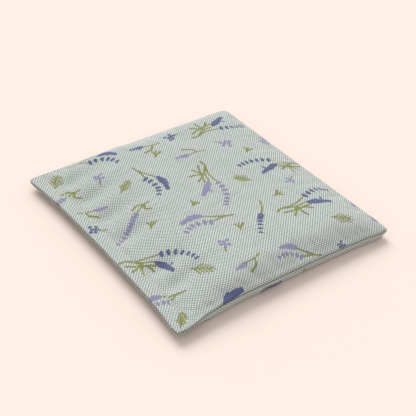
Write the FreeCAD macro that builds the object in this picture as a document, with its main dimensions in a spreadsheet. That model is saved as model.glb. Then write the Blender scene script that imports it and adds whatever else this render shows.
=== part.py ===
import FreeCAD, Part
import Sketcher
import math
import os

# An eye pillow: a small flat bag of cotton twill filled with flax seed and dried lavender.
# Millimetres. +Z is up and z = 0 is the surface that it rests on. X runs across the pillow,
# with the hemmed closing side at -X, and Y runs along it. The origin is the middle of the
# footprint. The top panel and the bottom panel meet at the seam plane, part way up.

# ---------------------------------------------------------------- driving dimensions
SIZES = {
    "width": 150.0,  # corner to corner along X
    "length": 155.0,  # corner to corner along Y
    "seam_height": 5.5,  # the seam plane above the surface
    "cloth": 0.7,  # thickness of the twill
    "panel_gap": 0.1,  # free space between the two panels at the seam plane
    "corner_radius": 2.0,  # the turned corners
    "hem": 10.5,  # flat strip along the closing side
    "allowance": 10.0,  # seam allowance turned inside on the three sewn sides
    "hem_turning": 15.0,  # edge turned inside on the closing side
    "rim_inset": 0.3,  # where a panel's wall leaves its folded rim
    "cavity_inset": 1.9,  # where the hollow starts above a turned-in allowance
    "wall_shift": 0.6,  # how much further in the hollow's sloping side is than the outside
    "side_seam_inset": 3.0,  # sewn seam, in from the outer edge
    "closing_seam_inset": 9.0,  # topstitch, in from the closing edge
    "side_stitch": 2.5,  # length of one stitch
    "closing_stitch": 3.0,
    "closing_seam_start": 4.0,  # first needle hole of the topstitch, in from the corner
    "side_seam_start": 18.0,  # first needle hole of the side seams, in from the closing edge
    "thread": 0.35,  # thread thickness
    "needle_hole": 0.55,
    "thread_clearance": 0.02,  # between the overlock thread and the cloth that it wraps
    "overlock_bite": 2.5,  # how far the overlock thread reaches in from the raw edges
    "fill_clearance": 0.4,  # between the seed and the cloth
    "bud_layer": 2.6,  # height of the layer of lavender on top of the seed
    "bud_length": 4.2,
    "bud_width": 1.7,
    "bud_spacing": 12.0,
}

# Each panel's profile, from its rim to its flat middle: the height of a section above or
# below the seam plane, and how far in from the panel's edge the section lies.
PROFILES = {
    "crown": [(3.0, 2.6), (5.0, 7.0), (6.8, 15.0), (8.2, 28.0), (9.0, 46.0)],
    "belly": [(2.6, 3.2), (4.4, 8.0), (5.5, 15.0)],
}
ROUNDING = 0.4  # growth of a section's corner radius for each mm that it lies further in
BUD_ROWS = 7
UP = {"crown": 1, "belly": -1}  # which way each panel lies from the seam plane

for panel, profile in PROFILES.items():
    for number, (rise, inset) in enumerate(profile, start=1):
        SIZES[f"{panel}_rise_{number}"] = rise
        SIZES[f"{panel}_inset_{number}"] = inset

doc = FreeCAD.newDocument("eye_pillow")
sheet = doc.addObject("Spreadsheet::Sheet", "sizes")
for row, (alias, size) in enumerate(SIZES.items(), start=1):
    sheet.set(f"A{row}", alias)
    sheet.set(f"B{row}", str(size))
    sheet.setAlias(f"B{row}", alias)
doc.recompute()


# ---------------------------------------------------------------- helpers
class Size:
    """A sum of driving dimensions, held both as a number and as the sheet's expression."""

    def __init__(self, *terms):
        self.terms = [term if isinstance(term, tuple) else (1, term) for term in terms]

    @property
    def number(self):
        return sum(factor * SIZES[alias] for factor, alias in self.terms)

    @property
    def expression(self):
        return " + ".join(f"{factor} * sizes.{alias}" for factor, alias in self.terms)

    def plus(self, *terms):
        return Size(*self.terms, *terms)

    def times(self, factor):
        return Size(*[(factor * share, alias) for share, alias in self.terms])


def origin_feature(body, role):
    return next(item for item in body.Origin.OriginFeatures if item.Role == role)


def make_body(label):
    body = doc.addObject("PartDesign::Body", label)
    body.Label = label
    return body


def constrain(sketch, kind, *places):
    return sketch.addConstraint(Sketcher.Constraint(kind, *places))


def bind(sketch, word, size, kind, *places):
    """A dimension of a sketch, tied to the sheet under a name of its own."""
    index = constrain(sketch, kind, *places, size.number)
    sketch.renameConstraint(index, word)
    sketch.setExpression("Constraints." + word, size.expression)


def pillow_outline(inset, hem=True):
    """The left, right, front and back sides of a section, each as a distance from the origin.

    Every side lies in by inset, a Size, and the left side clears the hem as well."""
    inward = inset.times(-1).terms
    right = Size((0.5, "width"), *inward)
    end = Size((0.5, "length"), *inward)
    left = right.plus((-1, "hem")) if hem else right
    return left, right, end, end


def rounded_rectangle(body, name, sides, height, radius):
    """A sketch of a rectangle with round corners, parallel to the surface at a height."""
    sketch = body.newObject("Sketcher::SketchObject", name)
    sketch.AttachmentSupport = [(origin_feature(body, "XY_Plane"), "")]
    sketch.MapMode = "FlatFace"
    sketch.Visibility = False
    left, right, front, back = (side.number for side in sides)
    turn = radius.number
    centres = [
        (right - turn, turn - front),
        (right - turn, back - turn),
        (turn - left, back - turn),
        (turn - left, turn - front),
    ]
    arcs = []
    for quarter, (x, y) in enumerate(centres, start=-1):
        circle = Part.Circle(FreeCAD.Vector(x, y, 0), FreeCAD.Vector(0, 0, 1), turn)
        start = quarter * math.pi / 2
        arcs.append(sketch.addGeometry(Part.ArcOfCircle(circle, start, start + math.pi / 2)))
    lines = []
    for arc, following in zip(arcs, arcs[1:] + arcs[:1]):
        side = Part.LineSegment(sketch.getPoint(arc, 2), sketch.getPoint(following, 1))
        lines.append(sketch.addGeometry(side))
        constrain(sketch, "Tangent", arc, 2, lines[-1], 1)
        constrain(sketch, "Tangent", lines[-1], 2, following, 1)
    for arc in arcs[1:]:
        constrain(sketch, "Equal", arcs[0], arc)
    bind(sketch, "corner", radius, "Radius", arcs[0])
    bind(sketch, "right", sides[1], "DistanceX", -1, 1, lines[0], 1)
    bind(sketch, "back", sides[3], "DistanceY", -1, 1, lines[1], 1)
    bind(sketch, "left", sides[0], "DistanceX", lines[2], 1, -1, 1)
    bind(sketch, "front", sides[2], "DistanceY", lines[3], 1, -1, 1)
    constrain(sketch, "Vertical", lines[0])
    constrain(sketch, "Horizontal", lines[1])
    sketch.setExpression("AttachmentOffset.Base.z", height.expression)
    return sketch


def section(body, name, inset, height, hem=True):
    """A section of the pillow, whose corners are rounder the further in it lies."""
    radius = inset.times(ROUNDING).plus("corner_radius")
    return rounded_rectangle(body, name, pillow_outline(inset, hem), height, radius)


def loft(body, kind, name, sections):
    feature = body.newObject("PartDesign::" + kind, name)
    feature.Profile = sections[0]
    feature.Sections = sections[1:]
    feature.Ruled = True
    return feature


def block(body, kind, name, corner, extent):
    """An additive or subtractive box from its lowest corner and its three side lengths."""
    box = body.newObject("PartDesign::" + kind, name)
    for side, size in zip(("Length", "Width", "Height"), extent):
        box.setExpression(side, size.expression)
    for letter, size in zip("xyz", corner):
        box.setExpression("Placement.Base." + letter, size.expression)
    return box


def along(seam, start, across, height):
    """The point that is start along a seam and across from its line, at a height."""
    lengthwise = seam["from"].plus(*start)
    crosswise = seam["line"].plus(*across)
    return turned(seam, lengthwise, crosswise, height)


def turned(seam, lengthwise, crosswise, height):
    """X, Y and Z measures from those along, across and above a seam."""
    if seam["axis"] == "X_Axis":
        return lengthwise, crosswise, height
    return crosswise, lengthwise, height


def row_of_posts(body, kind, seam, width, low, height):
    """A square post at each needle hole of a seam: a hole in the cloth, or the thread in it."""
    half = (-0.5, width)
    corner = along(seam, [half], [half], low)
    extent = turned(seam, Size(width), Size(width), height)
    post = block(body, kind, seam["name"] + "_post", corner, extent)
    doc.recompute()
    pattern = body.newObject("PartDesign::LinearPattern", seam["name"] + "_row")
    pattern.Originals = [post]
    pattern.Direction = (origin_feature(body, seam["axis"]), [""])
    stitches = f"floor(({seam['run'].expression}) / sizes.{seam['stitch']})"
    pattern.setExpression("Occurrences", f"{stitches} + 1")
    pattern.setExpression("Length", f"{stitches} * sizes.{seam['stitch']}")
    body.Tip = pattern


def from_seam(panel, distance):
    """The height that lies a distance from the seam plane, on one panel's side of it."""
    return Size("seam_height", *distance.times(UP[panel]).terms)


def layer(panel, near, far):
    """The lowest height and the thickness of what lies from near to far of the seam plane."""
    low = from_seam(panel, near if UP[panel] > 0 else far)
    return low, far.plus(*near.times(-1).terms)


# ---------------------------------------------------------------- places
NOTHING = Size((0, "cloth"))
ONE_CLOTH = Size((0.5, "panel_gap"), "cloth")  # the far face of a turned-in allowance
TWO_CLOTHS = Size((0.5, "panel_gap"), (2, "cloth"))  # the outer face of the folded rim
HALF_WIDTH = Size((0.5, "width"))
HALF_LENGTH = Size((0.5, "length"))

# Each seam is a straight row of stitches: from is where its first needle hole lies along its
# axis, line is where it lies across it, and run is its length.
side_x = HALF_WIDTH.plus((-1, "side_seam_inset"))
side_y = HALF_LENGTH.plus((-1, "side_seam_inset"))
across_start = HALF_WIDTH.times(-1).plus("side_seam_start")
across_run = side_x.plus(*across_start.times(-1).terms)
SIDE_SEAMS = [
    {"name": "front", "axis": "X_Axis", "from": across_start, "line": side_y.times(-1)},
    {"name": "back", "axis": "X_Axis", "from": across_start, "line": side_y},
    {"name": "right", "axis": "Y_Axis", "from": side_y.times(-1), "line": side_x},
]
for seam, run in zip(SIDE_SEAMS, (across_run, across_run, side_y.times(2))):
    seam.update(run=run, stitch="side_stitch")
CLOSING_SEAM = {
    "name": "closing",
    "axis": "Y_Axis",
    "from": HALF_LENGTH.times(-1).plus("closing_seam_start"),
    "line": HALF_WIDTH.times(-1).plus("closing_seam_inset"),
    "run": Size("length", (-2, "closing_seam_start")),
    "stitch": "closing_stitch",
}


# ---------------------------------------------------------------- cloth panels
def make_panel(label, panel):
    """One cloth panel: a hollow crown on a folded rim, with its edges turned in."""
    body = make_body(label)
    low, thickness = layer(panel, Size((0.5, "panel_gap")), TWO_CLOTHS)
    edge = pillow_outline(NOTHING, hem=False)
    rim = body.newObject("PartDesign::Pad", "folded_rim")
    rim.Profile = rounded_rectangle(body, "rim_outline", edge, low, Size("corner_radius"))
    rim.setExpression("Length", thickness.expression)

    walls = [(Size("rim_inset"), ONE_CLOTH)]
    hollows = [(Size("cavity_inset"), ONE_CLOTH)]
    for number in range(1, len(PROFILES[panel]) + 1):
        rise = Size(f"{panel}_rise_{number}")
        inset = Size(f"{panel}_inset_{number}")
        walls.append((inset, rise))
        hollows.append((inset.plus("wall_shift"), rise.plus((-1, "cloth"))))
    for kind, name, places in (
        ("AdditiveLoft", "wall", walls),
        ("SubtractiveLoft", "hollow", hollows),
    ):
        sections = [
            section(body, f"{name}_{number}", inset, from_seam(panel, distance))
            for number, (inset, distance) in enumerate(places)
        ]
        loft(body, kind, name, sections)

    # The space inside the turned-in edges.
    low, thickness = layer(panel, NOTHING, ONE_CLOTH.plus("wall_shift"))
    left = HALF_WIDTH.times(-1).plus("hem_turning")
    front = HALF_LENGTH.times(-1).plus("allowance")
    inner_width = Size("width", (-1, "hem_turning"), (-1, "allowance"))
    inner_length = Size("length", (-2, "allowance"))
    opening = (inner_width, inner_length, thickness)
    block(body, "SubtractiveBox", "inside_the_edges", (left, front, low), opening)

    # Needle holes: the side seams go through the turned-in layer, the topstitch through both.
    for seam in SIDE_SEAMS:
        low, thickness = layer(panel, NOTHING, ONE_CLOTH.plus("thread"))
        row_of_posts(body, "SubtractiveBox", seam, "needle_hole", low, thickness)
    low, thickness = layer(panel, NOTHING, TWO_CLOTHS.plus("thread"))
    row_of_posts(body, "SubtractiveBox", CLOSING_SEAM, "needle_hole", low, thickness)
    return body


# ---------------------------------------------------------------- threads
def make_seam_thread(label, panel, seams, face):
    """One of a seam's two threads: it lies on the cloth and dips into each needle hole."""
    body = make_body(label)
    half = (-0.5, "thread")
    for seam in seams:
        low, thickness = layer(panel, face, face.plus("thread"))
        corner = along(seam, [half], [half], low)
        extent = turned(seam, seam["run"].plus("thread"), Size("thread"), thickness)
        block(body, "AdditiveBox", seam["name"] + "_line", corner, extent)
        low, thickness = layer(panel, Size("thread_clearance"), face.plus("thread"))
        row_of_posts(body, "AdditiveBox", seam, "thread", low, thickness)
    return body


def make_overlock_thread():
    """The thread that wraps the raw edges of the two allowances together, on three sides."""
    body = make_body("edge_overlock_thread")
    left = HALF_WIDTH.times(-1).plus("side_seam_start")

    def slab(kind, name, edge, low, height):
        """A block whose right, front and back sides lie in by edge, open at the left."""
        inward = edge.times(-1).terms
        front = HALF_LENGTH.plus(*inward)
        right = HALF_WIDTH.plus(*inward)
        extent = (right.plus(*left.times(-1).terms), front.times(2), height)
        block(body, kind, name, (left, front.times(-1), low), extent)

    raw_edge = Size("allowance", "thread_clearance")
    bitten = Size("allowance", (-1, "overlock_bite"))
    face = ONE_CLOTH.plus("thread_clearance")
    outer = face.plus("thread")
    slab("AdditiveBox", "round_the_edge", raw_edge, from_seam("belly", outer), outer.times(2))
    for panel in UP:
        low, height = layer(panel, face, outer)
        slab("AdditiveBox", f"{panel}_loops", bitten, low, height)
    inner = raw_edge.plus("thread")
    slab("SubtractiveBox", "open_middle", inner, from_seam("belly", outer), outer.times(2))
    return body


# ---------------------------------------------------------------- filling
def make_seed_fill():
    """The bed of loose flax seed, with its outer shape. It clears the turned-in edges."""
    body = make_body("flax_seed_fill")
    clear_of_cloth = [(-1, "cloth"), (-1, "fill_clearance")]
    waist = Size("allowance", "thread_clearance", "thread", (2, "fill_clearance"))
    bed_top = Size("crown_rise_5", *clear_of_cloth, (-1, "bud_layer"))
    places = [
        ("belly", Size("belly_rise_3", *clear_of_cloth), Size("belly_inset_3", "wall_shift", "cloth")),
        ("belly", Size("belly_rise_1"), waist),
        ("crown", Size("crown_rise_1"), waist),
        ("crown", bed_top, Size("crown_inset_3", "wall_shift", "cloth")),
    ]
    sections = [
        section(body, f"level_{number}", inset, from_seam(panel, distance))
        for number, (panel, distance, inset) in enumerate(places)
    ]
    loft(body, "AdditiveLoft", "seed_bed", sections)
    return body, from_seam("crown", bed_top)


def make_lavender_buds(bed_height):
    """A layer of dried lavender buds on the seed: one bud for each place of a square grid."""
    body = make_body("lavender_buds")
    bud = body.newObject("PartDesign::AdditiveEllipsoid", "bud")
    bud.setExpression("Radius1", Size((0.5, "bud_width")).expression)
    bud.setExpression("Radius2", Size((0.5, "bud_length")).expression)
    bud.setExpression("Radius3", Size((0.5, "bud_width")).expression)
    first = Size((-0.5 * (BUD_ROWS - 1), "bud_spacing"))
    bud.setExpression("Placement.Base.x", first.expression)
    bud.setExpression("Placement.Base.y", first.expression)
    resting = bed_height.plus((0.5, "bud_width"), "thread_clearance")
    bud.setExpression("Placement.Base.z", resting.expression)
    doc.recompute()
    grid = body.newObject("PartDesign::LinearPattern", "bud_grid")
    grid.Originals = [bud]
    grid.Direction = (origin_feature(body, "X_Axis"), [""])
    grid.Direction2 = (origin_feature(body, "Y_Axis"), [""])
    grid.Occurrences = BUD_ROWS
    grid.Occurrences2 = BUD_ROWS
    span = Size((BUD_ROWS - 1, "bud_spacing")).expression
    grid.setExpression("Length", span)
    grid.setExpression("Length2", span)
    body.Tip = grid
    return body


# ---------------------------------------------------------------- the pillow
seed_fill, bed_height = make_seed_fill()
pieces = [
    make_panel("top_panel", "crown"),
    make_panel("bottom_panel", "belly"),
    make_seam_thread("side_seam_needle_thread", "crown", SIDE_SEAMS, ONE_CLOTH),
    make_seam_thread("side_seam_bobbin_thread", "belly", SIDE_SEAMS, ONE_CLOTH),
    make_overlock_thread(),
    make_seam_thread("closing_needle_thread", "crown", [CLOSING_SEAM], TWO_CLOTHS),
    make_seam_thread("closing_bobbin_thread", "belly", [CLOSING_SEAM], TWO_CLOTHS),
    seed_fill,
    make_lavender_buds(bed_height),
]
doc.recompute()

for item in doc.Objects:
    if "Invalid" in item.State or "Error" in item.State:
        raise RuntimeError(f"{item.Label} failed: {item.State}")
for piece in pieces:
    if piece.Shape.isNull() or not piece.Shape.isValid():
        raise RuntimeError(f"{piece.Label} has no valid shape")

os.makedirs("parts", exist_ok=True)
for piece in pieces:
    piece.Shape.exportStep(f"parts/{piece.Label}.step")
    box = piece.Shape.BoundBox
    print(
        f"{piece.Label}: {len(piece.Shape.Solids)} solids, {piece.Shape.Volume:.0f} mm3, "
        f"x {box.XMin:.1f}..{box.XMax:.1f}, y {box.YMin:.1f}..{box.YMax:.1f}, "
        f"z {box.ZMin:.2f}..{box.ZMax:.2f}"
    )
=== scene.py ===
import math
import bpy
import numpy as np
from mathutils import Matrix, Vector


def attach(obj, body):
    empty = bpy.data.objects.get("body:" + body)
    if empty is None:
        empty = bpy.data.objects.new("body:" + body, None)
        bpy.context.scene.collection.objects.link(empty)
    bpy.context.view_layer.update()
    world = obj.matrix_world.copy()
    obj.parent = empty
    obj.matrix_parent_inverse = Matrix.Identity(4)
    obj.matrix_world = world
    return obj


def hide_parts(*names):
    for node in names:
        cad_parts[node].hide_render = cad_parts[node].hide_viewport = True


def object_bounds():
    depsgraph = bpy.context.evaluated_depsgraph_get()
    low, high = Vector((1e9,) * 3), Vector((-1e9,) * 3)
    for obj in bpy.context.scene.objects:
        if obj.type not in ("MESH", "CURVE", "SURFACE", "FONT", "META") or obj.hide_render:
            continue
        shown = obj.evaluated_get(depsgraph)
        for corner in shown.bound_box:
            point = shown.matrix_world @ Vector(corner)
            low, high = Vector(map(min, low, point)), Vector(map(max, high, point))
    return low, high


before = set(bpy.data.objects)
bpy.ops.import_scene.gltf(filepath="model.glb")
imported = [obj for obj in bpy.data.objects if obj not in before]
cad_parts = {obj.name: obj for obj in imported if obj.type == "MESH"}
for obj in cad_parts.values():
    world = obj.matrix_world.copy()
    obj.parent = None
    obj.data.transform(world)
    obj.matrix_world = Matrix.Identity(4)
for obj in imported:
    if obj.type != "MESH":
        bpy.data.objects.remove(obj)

# An eye pillow of printed cotton twill, filled with flax seed and lavender. Shapes are worked
# out in millimetres in the frame's own axes and become metres when a mesh is made.
CAD_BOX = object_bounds()
MM = 0.001
LOW = [side / MM for side in CAD_BOX[0]]
HIGH = [side / MM for side in CAD_BOX[1]]
HALF_X = (HIGH[0] - LOW[0]) / 2
HALF_Y = (HIGH[1] - LOW[1]) / 2
TOP = HIGH[2]
SEAM_Z = 5.2  # the seam's height at the corners
CLOTH = 0.7  # thickness of the twill
SEAM_GAP = 0.06  # from the seam plane to each folded edge
HEM = 10.0  # the flat strip along the closing side
TOPSTITCH = 9.0  # the topstitch, in from the closing edge
PULL_IN = 3.0  # how far a side pulls in between its corners
SEAM_LIFT = 2.0  # how far a seam rises between its corners
LIFT_FADE = 16.0  # how far in from a seam its lift has fallen to about a third
BACK_SHARE = 0.6  # how much the back pulls in and lifts, against the front
RIGHT_SHARE = 0.5  # and the right side, against the closing side
CLOSING_LIFT = 0.5  # the closing side lifts less than it pulls in
CORNER_BLUNT = 0.6  # how far a turned corner falls short of a sharp one, both ways
CORNER_REACH = 4.0  # about how far from the corner that reaches


# -------------------- shape of the pillow
def rising(distance, reach):
    """0 at an edge and 1 well inside it, steepest at the edge."""
    return 1 - np.exp(-np.maximum(distance, 0) / reach)


def easing(distance, reach):
    """0 at an edge and 1 well inside it, flat at the edge."""
    return 1 - np.exp(-((np.maximum(distance, 0) / reach) ** 2))


def bumps(places, centres, width):
    """A row of soft bumps, one at each centre."""
    return sum(np.exp(-(((places - centre) / width) ** 2)) for centre in centres)


def swell(across, along, seed, size, count=14):
    """Smooth uneven height between about -1 and 1, whose waves are about size long."""
    draw = np.random.RandomState(seed)
    total = 0
    for _ in range(count):
        heading = draw.uniform(0, 2 * math.pi)
        wave = 2 * math.pi / (size * draw.uniform(0.7, 1.5))
        start = draw.uniform(0, 2 * math.pi)
        total = total + np.sin(wave * (across * math.cos(heading) + along * math.sin(heading)) + start)
    return total / math.sqrt(count)


# How strongly each sewn side pulls in and lifts, from one corner to the other. The front seam
# pulls most near the closing side.
FRONT_PULL = [(0, 0), (0.07, 0.22), (0.12, 0.72), (0.17, 0.92), (0.3, 1.12), (0.42, 1.0),
              (0.65, 0.85), (0.77, 0.66), (0.87, 0.5), (0.93, 0.28), (1, 0)]
BACK_PULL = [(0, 0), (0.1, 0.5), (0.25, 0.9), (0.5, 1.0), (0.75, 0.9), (0.9, 0.5), (1, 0)]
SIDE_PULL = [(0, 0), (0.08, 0.4), (0.2, 0.8), (0.5, 1.0), (0.8, 0.8), (0.92, 0.4), (1, 0)]


def pull(profile, across, half):
    """How strongly a side pulls in at a place along it, eased between the profile's points."""
    places, amounts = zip(*profile)
    share = np.clip((across + half) / (2 * half), 0, 1)
    blur = [np.interp(share + shift, places, amounts) for shift in (-0.03, -0.015, 0, 0.015, 0.03)]
    return sum(blur) / len(blur) * (1 - np.abs(2 * share - 1) ** 12)


def side_pulls(x, y):
    """How strongly the front, back, left and right sides pull in, level with a place."""
    front = pull(FRONT_PULL, x, HALF_X)
    back = BACK_SHARE * pull(BACK_PULL, x, HALF_X)
    left = pull(SIDE_PULL, y, HALF_Y)
    return front, back, left, RIGHT_SHARE * left


def outline(x, y):
    """Where a place on the flat panel comes to lie once the sides have pulled in."""
    front, back, left, right = side_pulls(x, y)
    across = np.clip(x / HALF_X, -1, 1)
    along = np.clip(y / HALF_Y, -1, 1)
    x_side = np.where(across < 0, left, right)
    y_side = np.where(along < 0, front, back)
    from_corner = (HALF_X - np.abs(x)) ** 2 + (HALF_Y - np.abs(y)) ** 2
    blunt = CORNER_BLUNT * np.exp(-from_corner / CORNER_REACH**2)
    in_x = PULL_IN * across * np.abs(across) ** 2 * x_side + np.sign(x) * blunt
    in_y = PULL_IN * along * np.abs(along) ** 2 * y_side + np.sign(y) * blunt
    return x - in_x, y - in_y


def seam_height(x, y):
    """Height of the seam plane, which lifts between the corners of each side."""
    front, back, left, right = side_pulls(x, y)
    lift = front * np.exp(-(HALF_Y + y) / LIFT_FADE) + back * np.exp(-(HALF_Y - y) / LIFT_FADE)
    lift = lift + CLOSING_LIFT * left * np.exp(-(HALF_X + x) / LIFT_FADE)
    lift = lift + right * np.exp(-(HALF_X - x) / LIFT_FADE)
    return SEAM_Z + SEAM_LIFT * lift


GATHER_WIDTH = 0.26  # as a share of the spacing


def seam_puckers(along, inward, seed, spacing, reach):
    """Little gathers at right angles to a seam, which die away inside it.

    spacing is about how far one is from the next, and reach is how far in they are deepest."""
    draw = np.random.RandomState(seed)
    centres = []
    place = -HALF_Y + draw.uniform(0.3, 1.0) * spacing
    while place < HALF_Y:
        centres.append(place)
        place += spacing * draw.uniform(0.6, 1.5)
    strengths = draw.uniform(0.4, 1.0, len(centres))
    rows = [
        strength * np.exp(-(((along - centre) / (GATHER_WIDTH * spacing)) ** 2))
        for centre, strength in zip(centres, strengths)
    ]
    inside = np.maximum(inward, 0) / reach
    return sum(rows) * inside * np.exp(1 - inside)


def inward_from_sides(x, y):
    """How far inside each side a place is. The left side's is from the inner edge of the hem."""
    return {"left": HALF_X + x - HEM, "right": HALF_X - x, "front": HALF_Y + y, "back": HALF_Y - y}


def fullness(inward, reaches):
    """0 at each side and nearly 1 well inside, flat at the hem and steep at the sewn sides."""
    full = easing(inward["left"], reaches["left"])
    for side in ("right", "front", "back"):
        full = full * rising(inward[side], reaches[side])
    return full


def all_gathers(x, y, inward, rows):
    """How far the gathers of every side draw a panel in."""
    total = 0
    for side, depth, seed, spacing, reach in rows:
        along = x if side in ("front", "back") else y
        total = total + depth * seam_puckers(along, inward[side], seed, spacing, reach)
    return total


# About how far in from each side a panel takes to fill out.
TOP_REACHES = {"left": 20.0, "right": 9.5, "front": 6.5, "back": 5.0}
BOTTOM_REACHES = {"left": 9.0, "right": 2.6, "front": 1.6, "back": 2.6}
# Each row is a side and its gathers' depth, random seed, spacing and reach.
TOP_GATHERS = [
    ("front", 0.55, 11, 17.0, 5.0),
    ("back", 0.35, 12, 13.0, 4.0),
    ("right", 0.40, 13, 12.0, 4.5),
]
BOTTOM_GATHERS = [
    ("front", 1.6, 21, 17.0, 3.0),
    ("back", 0.7, 22, 17.0, 3.0),
    ("right", 0.7, 23, 18.0, 3.0),
    ("left", 0.8, 24, 20.0, 6.0),
]
# Soft dimples where the filling stops behind the topstitch, from the front corner backwards, as
# shares of half the closing side.
HEM_DIMPLES = [-0.64, -0.44, -0.03, 0.24, 0.5, 0.76]
DIMPLE_WIDTH = 5.5
DIMPLE_DEPTH = 2.4
DIMPLE_REACH = 8.0  # from the hem to where a dimple is deepest
DIMPLE_EASE = 12.0  # how gently the dimples begin at the front and back
LUMPS = 0.30  # height of the filling's broad lumps
LUMP_SIZE = 34.0
SMALL_LUMPS = 0.07
SMALL_LUMP_SIZE = 9.0
FREE_CROWN = TOP - SEAM_Z - SEAM_GAP - 2 * CLOTH - LUMPS  # height of the crown without its lumps
FREE_BELLY = 8.5  # how far the bottom panel would hang below its folded edge with no floor


def crown(x, y):
    """Height of the top panel's outer face above its folded edge."""
    inward = inward_from_sides(x, y)
    shape = fullness(inward, TOP_REACHES)
    dimples = bumps(y, [share * HALF_Y for share in HEM_DIMPLES], DIMPLE_WIDTH)
    hollow = np.maximum(inward["left"], 0) / DIMPLE_REACH
    dent = DIMPLE_DEPTH * dimples * hollow * np.exp(1 - hollow)
    dent = dent * rising(inward["front"], DIMPLE_EASE) * rising(inward["back"], DIMPLE_EASE)
    inside = np.clip(shape, 0, 1)
    lumps = LUMPS * inside * swell(x, y, 3, LUMP_SIZE)
    small_lumps = SMALL_LUMPS * inside * swell(x, y, 5, SMALL_LUMP_SIZE)
    height = FREE_CROWN * shape - dent + lumps + small_lumps
    return height - all_gathers(x, y, inward, TOP_GATHERS) * np.clip(2 * shape, 0, 1)


def belly(x, y):
    """Depth of the bottom panel's outer face below its folded edge, before it meets the floor."""
    inward = inward_from_sides(x, y)
    shape = fullness(inward, BOTTOM_REACHES)
    return FREE_BELLY * shape - all_gathers(x, y, inward, BOTTOM_GATHERS) * np.clip(2 * shape, 0, 1)


def settle(height, softness=0.5):
    """Keeps a height above the floor, with a soft bend where it comes to rest."""
    return 0.5 * (height + np.sqrt(height**2 + softness**2)) - 0.02 * softness


def fold_profile(turned):
    """How far in from the edge, and how far down from it, a turned-in place lies."""
    quarter = CLOTH * math.pi / 2
    angle = np.clip(turned / quarter, 0, 1) * math.pi / 2
    inward = CLOTH * (1 - np.cos(angle)) + np.maximum(turned - quarter, 0)
    return inward, CLOTH * np.sin(angle)


def quarter_round(distance, reach=CLOTH):
    """0 at an edge and 1 from reach inside it, round like the side of a fold."""
    outside = np.clip(1 - distance / reach, 0, 1)
    return np.sqrt(1 - outside**2)


STITCH = 3.0  # length of one topstitch
STITCH_LINE = TOPSTITCH - HALF_X
GROOVE_WIDTH = 0.8
GROOVE_DEPTH = 0.28
PIT_DEPTH = 0.3  # more, at a needle hole
GROOVE_END = 3.0  # from each end of the groove to the sewn side
GROOVE_FADE = 2.0
CORNER_ROOM = 1.5  # how far the turned-in cloth of one side keeps inside the next side


def stitch_groove(x, y):
    """How far the topstitch pulls the cloth in: a groove with a small pit at each needle hole."""
    groove = np.exp(-(((x - STITCH_LINE) / GROOVE_WIDTH) ** 2))
    pit = 0.5 + 0.5 * np.cos(2 * math.pi * y / STITCH)
    ends = np.clip((HALF_Y - np.abs(y) - GROOVE_END) / GROOVE_FADE, 0, 1)
    return groove * ends * (GROOVE_DEPTH + PIT_DEPTH * pit**6)


def panel_points(x, y, turned_x, turned_y, side, moves):
    """Points of a panel's outer face. side is 1 for the top panel and -1 for the bottom one."""
    in_x, down_x = fold_profile(np.abs(turned_x))
    in_y, down_y = fold_profile(np.abs(turned_y))
    level = quarter_round(HALF_X + x) * quarter_round(HALF_X - x)
    level = level * quarter_round(HALF_Y + y) * quarter_round(HALF_Y - y)
    from_seam = SEAM_GAP + CLOTH * (1 + level) - np.maximum(down_x, down_y)
    rise = crown(x, y) if side > 0 else belly(x, y)
    from_seam = from_seam + rise - stitch_groove(x, y) * (turned_x == 0)
    room_x = HALF_X - CORNER_ROOM * np.minimum(in_y / 2, 1)
    room_y = HALF_Y - CORNER_ROOM * np.minimum(in_x / 2, 1)
    lying_x = np.clip(x - np.sign(turned_x) * in_x, -room_x, room_x)
    lying_y = np.clip(y - np.sign(turned_y) * in_y, -room_y, room_y)
    height = seam_height(lying_x, lying_y) + side * from_seam
    across, along = outline(lying_x, lying_y)
    points = np.stack([across, along, height], -1) + moves
    if side < 0:
        points[..., 2] = settle(points[..., 2])
    return points


def add_object(name, data):
    """Puts a new object in the scene."""
    thing = bpy.data.objects.new(name, data)
    bpy.context.scene.collection.objects.link(thing)
    return thing


# -------------------- cloth simulation
SIM_SCALE = 0.01  # metres for each millimetre, because Cloth is tuned for things a metre wide
SIM_CELL = 2.5  # about how far apart the simulated points are
SIM_FRAMES = 22
MOST_MOVE = 1.3  # no point moves further than this
HELD_STRIP = 1.0  # how far in from the seams and the hem the cloth is held
FLOOR_TOUCH = 0.4  # cloth lower than this rests on the floor, and is held


def grid_faces(rows, columns, start=0, flip=False):
    """Four-sided faces over a grid of points, numbered row by row from start."""
    index = np.arange(rows * columns).reshape(rows, columns) + start
    corners = [index[:-1, :-1], index[:-1, 1:], index[1:, 1:], index[1:, :-1]]
    if flip:
        corners.reverse()
    return np.stack([corner.ravel() for corner in corners], -1)


def rim_loop(rows, columns):
    """Indices of a grid's rim in order, starting at its first point."""
    index = np.arange(rows * columns).reshape(rows, columns)
    return np.concatenate([index[0, :-1], index[:-1, -1], index[-1, :0:-1], index[:0:-1, 0]])


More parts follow.
